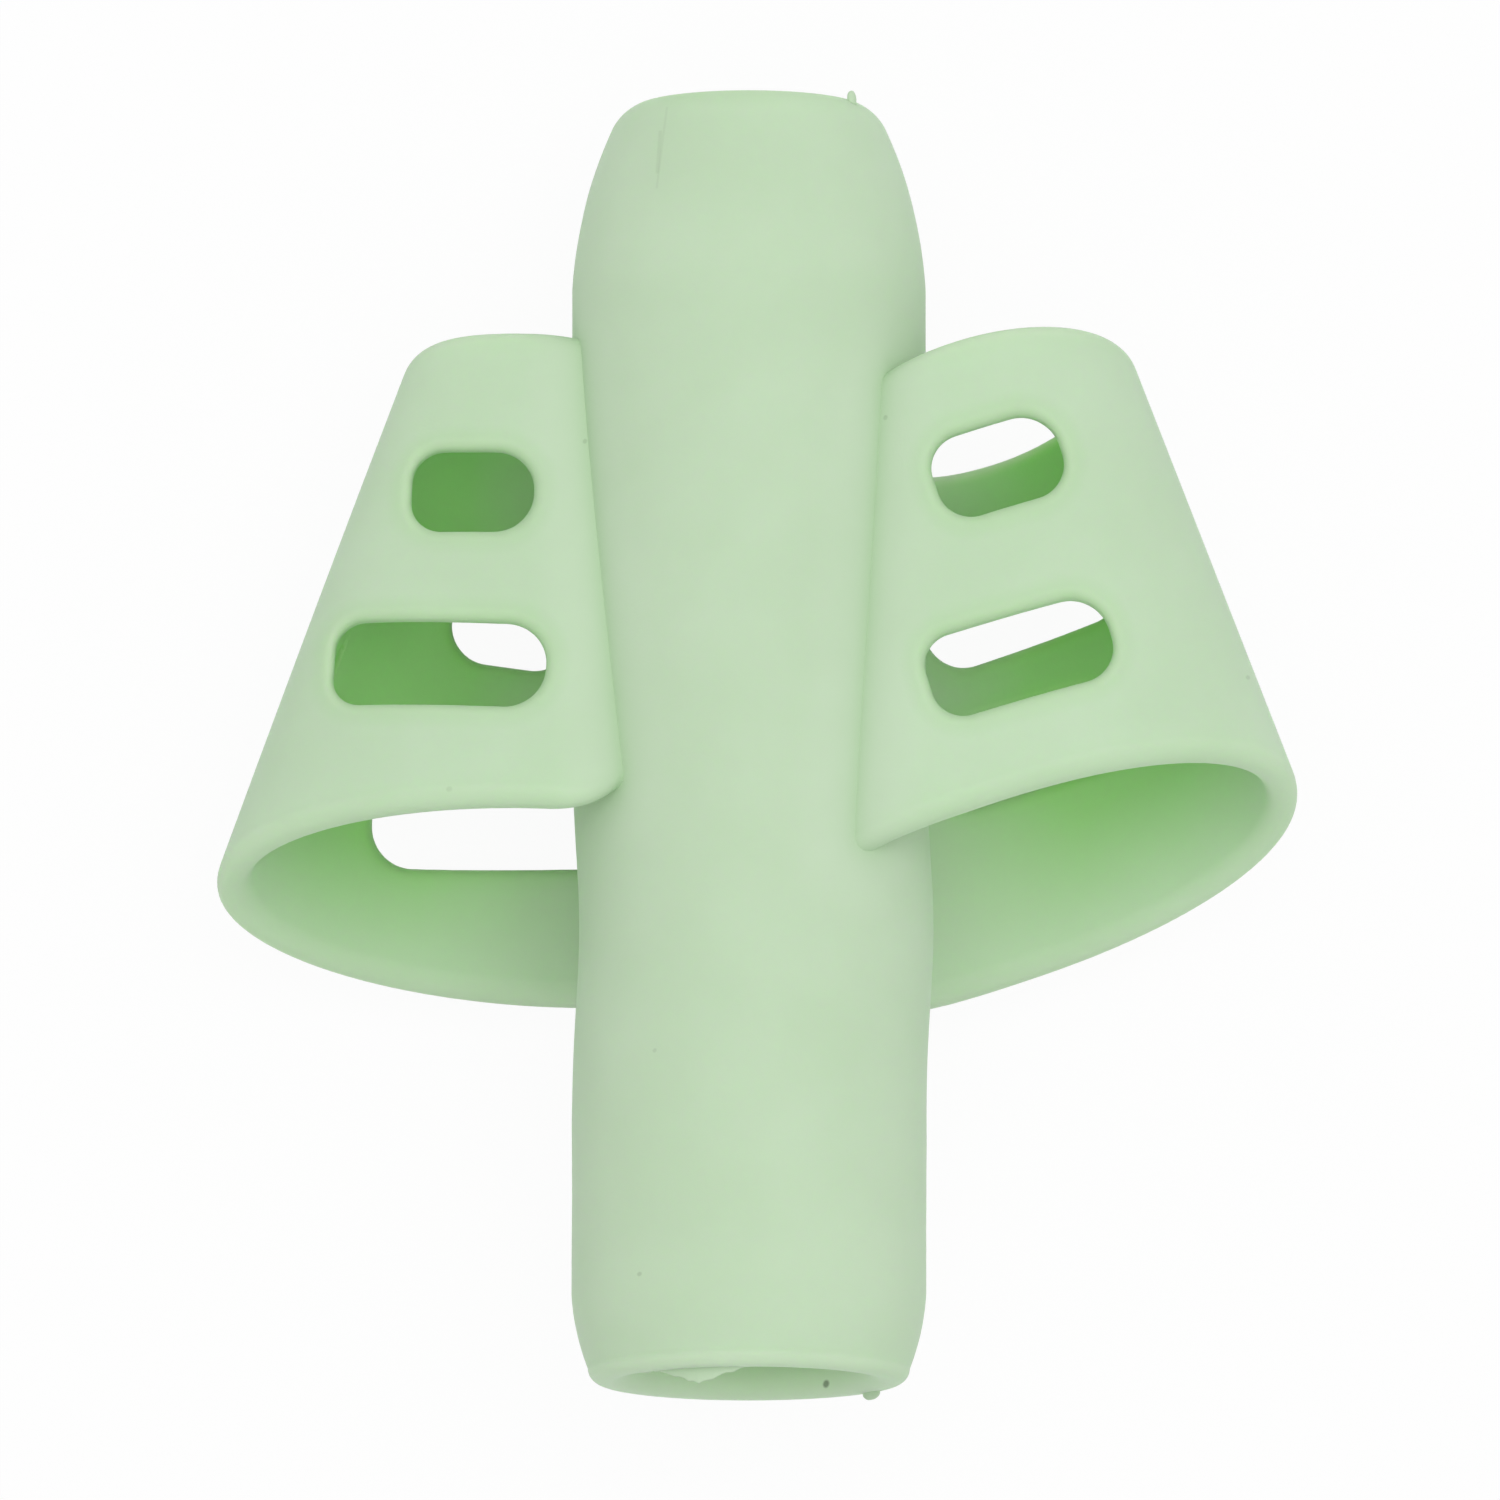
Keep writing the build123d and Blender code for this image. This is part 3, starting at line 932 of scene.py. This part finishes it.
def mark_group():
    """A shader group for a speck or a scratch: a round-ended line seen from the front, on one side."""
    tree, given = new_tree(
        "Skin mark",
        "ShaderNodeTree",
        {"Vector": ("Vector",), "Float": (*MARK_SIZES, "Facing")},
        {"Float": ("Mark",)},
    )

    def dot(first, second):
        return first[0] * second[0] + first[1] * second[1]

    x, y, z = separated(given["Vector"])
    line = given["End X"] - given["Start X"], given["End Y"] - given["Start Y"]
    apart = x - given["Start X"], y - given["Start Y"]
    share = (dot(apart, line) / (dot(line, line) + 1e-12)).clamped()
    off = apart[0] - share * line[0], apart[1] - share * line[1]
    edge = {0: dot(off, off).maths("SQRT"), 1: given["Width"] * 0.5, 2: given["Width"], 3: 1.0, 4: 0.0}
    soft = add_node(tree, "ShaderNodeMapRange", edge)[0]
    side = (z * given["Facing"]).maths("GREATER_THAN", -MARK_DEPTH)
    add_node(tree, "NodeGroupOutput", {"Mark": soft * side})
    return tree


def cleared(block):
    """The node tree of a material or a world, emptied."""
    block.use_nodes = True
    block.node_tree.nodes.clear()
    return block.node_tree


def mixed(share, first, second):
    """A mix of two colours: a mix node's inputs 6 and 7 and its result 2 are colours."""
    return add_node(share.tree, "ShaderNodeMix", {0: share, 6: first, 7: second}, data_type="RGBA")[2]


def mint_silicone(grip):
    """The soft matte silicone, deeper in colour at creases, at the slots' edges and inside the cups."""
    found = bpy.data.materials.get("mint_silicone_skin")
    if found:
        return found
    finish = grip.finish
    material = bpy.data.materials.new("mint_silicone_skin")
    tree = cleared(material)
    place = add_node(tree, "ShaderNodeTexCoord")["Object"]
    skin = add_node(tree, "ShaderNodeGroup", {"Vector": place, **SKIN_SCALES}, node_tree=grain_group())
    root, lip, slot_edge, inside = (
        add_node(tree, "ShaderNodeAttribute", attribute_name=name)["Fac"]
        for name in ("root", "lip", "slot_edge", "inside")
    )
    mint, pale, deep, crease, speck = (
        (*c, 1) for c in (finish.mint, finish.pale_mint, finish.deep_shade_mint, finish.crease_and_edge_shade_mint, finish.speck)
    )
    colour_now = mixed(skin["Patches"] * PATCH_SHARE, mint, pale)
    # Painted shade: each row darkens the colour towards a shade mint along the lips, at the slots' edges, in
    # the roots' creases and inside the hollows
    for share, power, most, tint in (
        (lip, 1.0, 0.16, crease),
        (slot_edge, 1.5, 0.12, deep),
        (slot_edge, 1.0, 0.3, crease),
        (root, 3.0, 0.36, crease),
        (inside, 1.0, 0.6, deep),
    ):
        colour_now = mixed(share.maths("POWER", power) * most, colour_now, tint)
    own = sleeve_matrix(grip.sleeve)
    frame_of = {"Vector": place, "Location": own.translation, "Rotation": own.to_euler()}
    sleeve_place = add_node(tree, "ShaderNodeMapping", frame_of, vector_type="TEXTURE")[0]
    mark_tree = mark_group()
    for start, end, width, facing, strength in SKIN_MARKS:
        sizes = {name: value * MM for name, value in zip(MARK_SIZES, (*start, *end, width))}
        values = {"Vector": sleeve_place, "Facing": facing, **sizes}
        mark = add_node(tree, "ShaderNodeGroup", values, node_tree=mark_tree)[0]
        colour_now = mixed(mark * strength, colour_now, speck)
    relief = {"Height": skin["Height"], "Strength": 0.12, "Distance": 0.12 * MM}
    fade = {0: root, 1: 0.0, 2: OPAQUE_ROOT, 3: finish.translucency, 4: 0.0}
    shader = add_node(
        tree,
        "ShaderNodeBsdfPrincipled",
        {
            "Base Color": colour_now,
            "Roughness": skin["Grain"] * GRAIN_ROUGHNESS + (finish.roughness - GRAIN_ROUGHNESS / 2),
            "Normal": add_node(tree, "ShaderNodeBump", relief)[0],
            "IOR": 1.41,
            "Specular IOR Level": 0.35,
            "Subsurface Weight": add_node(tree, "ShaderNodeMapRange", fade)[0],
            "Subsurface Radius": (0.6, 0.85, 0.5),
            "Subsurface Scale": 1.6 * MM,
            "Sheen Weight": 0.12,
            "Sheen Roughness": 0.5,
            "Sheen Tint": (0.5, 1.0, 0.55, 1.0),
        },
    )[0]
    add_node(tree, "ShaderNodeOutputMaterial", {"Surface": shader})
    return material


def shown_plainly(tree):
    """1 for rays that show the background itself."""
    light = add_node(tree, "ShaderNodeLightPath")
    seen = light["Is Camera Ray"].maths("MAXIMUM", light["Is Glossy Ray"])
    return seen.maths("MAXIMUM", light["Is Transmission Ray"])


def floor_material():
    """A white floor that keeps a faint shadow."""
    material = bpy.data.materials.new("white_floor")
    tree = cleared(material)
    plain = add_node(tree, "ShaderNodeBsdfDiffuse", {"Color": (FLOOR_GREY, FLOOR_GREY, FLOOR_GREY, 1)})[0]
    white = add_node(tree, "ShaderNodeEmission", {"Color": (1, 1, 1, 1), "Strength": 1.0})[0]
    share = shown_plainly(tree) * FLOOR_WHITE
    mix = add_node(tree, "ShaderNodeMixShader", {0: share, 1: plain, 2: white})[0]
    add_node(tree, "ShaderNodeOutputMaterial", {"Surface": mix})
    return material


def soft_sky(strength):
    """Even light from all round, which is seen as plain white."""
    world = bpy.data.worlds.new("soft_sky")
    tree = cleared(world)
    level = shown_plainly(tree) * (1 - strength) + strength
    sky = add_node(tree, "ShaderNodeBackground", {"Color": (1, 1, 1, 1), "Strength": level})[0]
    add_node(tree, "ShaderNodeOutputWorld", {"Surface": sky})
    bpy.context.scene.world = world


class GRIP_OT_sleeve(bpy.types.Operator):
    """Turn the pencil sleeve and put it in its place"""

    bl_idname = "pencil_grip.sleeve"
    bl_label = "Pencil sleeve"

    def execute(self, context):
        grip = context.scene.pencil_grip
        material = mint_silicone(grip)
        mesh = turned_sleeve(grip.sleeve, cup_fields(grip).values(), material)
        piece = new_piece("sleeve_skin", mesh, material)
        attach(piece, "sleeve")
        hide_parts("pencil_sleeve")
        return {"FINISHED"}


class GRIP_OT_cups(bpy.types.Operator):
    """Mould the two finger cups, rooted in the sleeve"""

    bl_idname = "pencil_grip.cups"
    bl_label = "Finger cups"

    def execute(self, context):
        grip = context.scene.pencil_grip
        material = mint_silicone(grip)
        matrix = sleeve_matrix(grip.sleeve)
        for name, field in cup_fields(grip).items():
            mesh = moulded_cup(field)
            mesh.transform(matrix)
            face_outward(mesh)
            piece = new_piece(f"{name}_cup_skin", mesh, material)
            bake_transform(piece)
            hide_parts(f"{name}_finger_cup")
        return {"FINISHED"}


class GRIP_OT_flash(bpy.types.Operator):
    """Add the torn flash and the nubs that the mould left on the sleeve's rims"""

    bl_idname = "pencil_grip.flash"
    bl_label = "Moulding flash"

    def execute(self, context):
        grip = context.scene.pencil_grip
        material = mint_silicone(grip)
        meshes = {"tail_flash": torn_flash(grip.flash, material), "rim_nubs": rim_nubs(grip, material)}
        for name, mesh in meshes.items():
            # The flash and the nubs take this root share so that they let no light in, which also gives them
            # faint painted crease shade
            paint(mesh, {"root": np.full(len(mesh.vertices), OPAQUE_ROOT)})
            mesh.transform(sleeve_matrix(grip.sleeve))
            face_outward(mesh)
            piece = new_piece(name, mesh, material)
            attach(piece, "sleeve")
        return {"FINISHED"}


class GRIP_OT_stage(bpy.types.Operator):
    """Set the floor, the light and the camera"""

    bl_idname = "pencil_grip.stage"
    bl_label = "Stage"

    def execute(self, context):
        grip = context.scene.pencil_grip
        stage, scene = grip.stage, context.scene
        half, low = stage.floor_size / 2, -stage.floor_drop
        mesh = bpy.data.meshes.new("floor")
        corners = [(-half, -half, low), (half, -half, low), (half, half, low), (-half, half, low)]
        mesh.from_pydata(corners, [], [(0, 1, 2, 3)])
        new_piece("floor", mesh, floor_material())
        soft_sky(stage.sky)
        lamp = bpy.data.lights.new("soft_key", "AREA")
        lamp.energy, lamp.size = stage.key_power, stage.key_size
        key = bpy.data.objects.new("soft_key", lamp)
        key.location = Vector((*KEY_LEAN, 1)) * stage.key_height
        key.rotation_euler = (-key.location).to_track_quat("-Z", "Y").to_euler()
        scene.collection.objects.link(key)
        middle = sleeve_matrix(grip.sleeve) @ Vector((0, grip.sleeve.length / 2, 0))
        view = bpy.data.cameras.new("view")
        view.sensor_width = 36.0
        view.lens = view.sensor_width * stage.view_distance / stage.view_width
        view.clip_start, view.clip_end = 0.01, 10.0
        camera = bpy.data.objects.new("view", view)
        lean = Matrix.Rotation(-stage.view_lean, 3, "X")
        camera.location = middle + lean @ Vector((stage.view_right, stage.view_up, stage.view_distance))
        camera.rotation_euler = lean.to_euler()
        scene.collection.objects.link(camera)
        scene.camera = camera
        scene.view_settings.view_transform = "Standard"
        return {"FINISHED"}


class GRIP_PT_panel(bpy.types.Panel):
    """Lists the pieces of the grip"""

    bl_idname = "GRIP_PT_panel"
    bl_label = "Pencil grip"
    bl_space_type = "VIEW_3D"
    bl_region_type = "UI"
    bl_category = "Pencil grip"

    def draw(self, context):
        for operator in OPERATORS:
            self.layout.operator(operator.bl_idname)
        grip = context.scene.pencil_grip
        for group in (grip.sleeve, grip.cups, grip.flash, grip.finish, grip.stage):
            box = self.layout.box()
            for name in group.__annotations__:
                box.prop(group, name)


OPERATORS = (GRIP_OT_stage, GRIP_OT_sleeve, GRIP_OT_cups, GRIP_OT_flash)
GROUPS = (
    SleeveSizes,
    *LEFT_GROUPS,
    *RIGHT_GROUPS,
    CupWall,
    FlashSizes,
    FinishColours,
    StageSizes,
    GripSettings,
)


def register():
    """Adds the grip's settings, operators and panel."""
    for item in (*GROUPS, *OPERATORS, GRIP_PT_panel):
        bpy.utils.register_class(item)
    bpy.types.Scene.pencil_grip = PointerProperty(type=GripSettings)


def unregister():
    """Removes them again."""
    del bpy.types.Scene.pencil_grip
    for item in reversed((*GROUPS, *OPERATORS, GRIP_PT_panel)):
        bpy.utils.unregister_class(item)


def main():
    """Makes the whole grip and writes its size beside that of the solids."""
    register()
    bpy.ops.pencil_grip.stage()
    bpy.ops.pencil_grip.sleeve()
    bpy.ops.pencil_grip.cups()
    bpy.ops.pencil_grip.flash()


if __name__ == "__main__":
    main()
